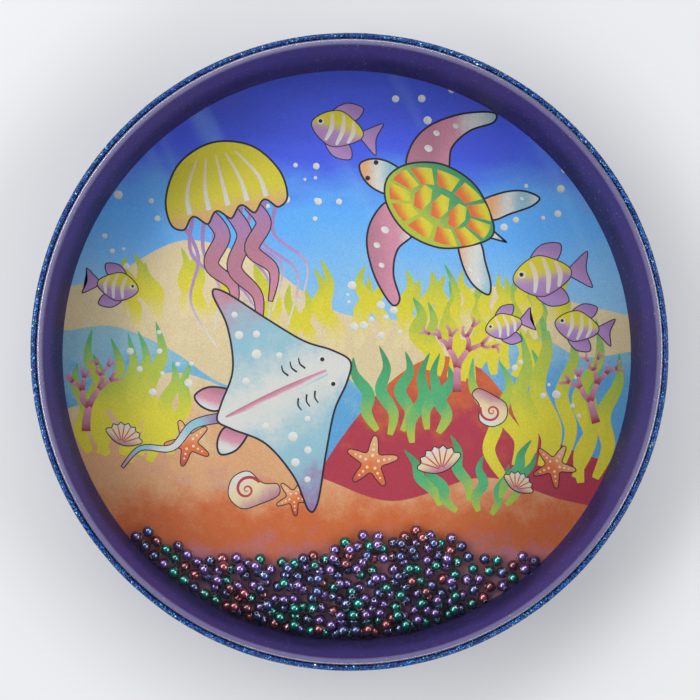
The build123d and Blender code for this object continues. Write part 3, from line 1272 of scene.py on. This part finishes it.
class StageOperator(bpy.types.Operator):
    """Lay the pale floor, hang the soft lamps and set the camera over the drum"""

    bl_idname = "ocean_drum.stage"
    bl_label = "Stage"

    lamps = [
        ("lamp_top", (-0.18, 0.9, 1.06), (1.4, 0.56), 8.5),
        ("lamp_near", (0.1, -0.92, 0.9), (1.2, 0.4), 4.5),
        ("lamp_left", (-0.86, 0.14, 1.06), (1.1, 0.44), 10.0),
        ("lamp_right", (0.9, -0.06, 0.9), (1.0, 0.36), 6.0),
    ]
    floor_reach = 12
    floor_level = -0.0005
    air_colour = (0.93, 0.95, 1.0, 1.0)
    air_strength = 0.3
    camera_place = (-0.0214, -0.0226, 0.730)
    camera_aim = (-0.0009, -0.0003, 0.057)
    camera_lens = 73.0
    camera_sensor = 36

    def execute(self, context):
        context.scene.view_settings.view_transform = "Standard"
        self.lay_floor()
        self.light(context.scene)
        context.scene.camera = self.camera()
        return {"FINISHED"}

    def lay_floor(self):
        """A wide sheet of paper just under the drum."""
        bm = bmesh.new()
        bmesh.ops.create_grid(bm, x_segments=8, y_segments=8, size=self.floor_reach)
        bmesh.ops.translate(bm, vec=(0, 0, self.floor_level), verts=bm.verts)
        floor = shown("studio_floor", meshed(bm, "studio_floor", [floor_finish()]))

    def light(self, scene):
        """Soft lamps aimed at the drum, and pale air all round."""
        for name, place, size, power in self.lamps:
            lamp = bpy.data.lights.new(name, "AREA")
            lamp.shape = "RECTANGLE"
            lamp.size, lamp.size_y = size
            lamp.energy = power
            holder = shown(name, lamp)
            holder.location = place
            holder.rotation_euler = (-Vector(place)).to_track_quat("-Z", "Y").to_euler()
        world = bpy.data.worlds.new("studio_air")
        world.use_nodes = True
        background = world.node_tree.nodes["Background"]
        background.inputs["Color"].default_value = self.air_colour
        background.inputs["Strength"].default_value = self.air_strength
        scene.world = world

    def camera(self):
        """A camera a little off the drum's axis, with the drum's +Y up in its picture."""
        eye = bpy.data.cameras.new("camera")
        eye.lens = self.camera_lens
        eye.sensor_width = self.camera_sensor
        camera = shown("camera", eye)
        camera.location = self.camera_place
        back = (camera.location - Vector(self.camera_aim)).normalized()
        right = Vector((0, 1, 0)).cross(back).normalized()
        camera.rotation_euler = Matrix((right, back.cross(right), back)).transposed().to_euler()
        return camera


OPERATORS = [
    ShellOperator,
    HeadsOperator,
    GlitterOperator,
    SeaFloorOperator,
    WeedOperator,
    BubblesOperator,
    JellyfishOperator,
    TurtleOperator,
    FindsOperator,
    RayOperator,
    FishOperator,
    PearlsOperator,
    StageOperator,
]


class DrumPanel(bpy.types.Panel):
    """The drum's pieces, sizes and colours"""

    bl_idname = "VIEW3D_PT_ocean_drum"
    bl_label = "Ocean Drum"
    bl_space_type = "VIEW_3D"
    bl_region_type = "UI"
    bl_category = "Ocean Drum"

    def draw(self, context):
        for operator in OPERATORS:
            self.layout.operator(operator.bl_idname)
        for group in (context.scene.drum_sizes, context.scene.drum_colours):
            for name in group.__annotations__:
                self.layout.prop(group, name)


CLASSES = [DrumSizes, DrumColours, *OPERATORS, DrumPanel]


def register():
    for made in CLASSES:
        bpy.utils.register_class(made)
    bpy.types.Scene.drum_sizes = PointerProperty(type=DrumSizes)
    bpy.types.Scene.drum_colours = PointerProperty(type=DrumColours)


def unregister():
    del bpy.types.Scene.drum_colours
    del bpy.types.Scene.drum_sizes
    for made in reversed(CLASSES):
        bpy.utils.unregister_class(made)


def main():
    register()
    bpy.ops.ocean_drum.shell()
    bpy.ops.ocean_drum.heads()
    bpy.ops.ocean_drum.glitter()
    bpy.ops.ocean_drum.sea_floor()
    bpy.ops.ocean_drum.weed()
    bpy.ops.ocean_drum.bubbles()
    bpy.ops.ocean_drum.jellyfish()
    bpy.ops.ocean_drum.turtle()
    bpy.ops.ocean_drum.finds()
    bpy.ops.ocean_drum.ray()
    bpy.ops.ocean_drum.fish()
    bpy.ops.ocean_drum.pearls()
    bpy.ops.ocean_drum.stage()


if __name__ == "__main__":
    main()
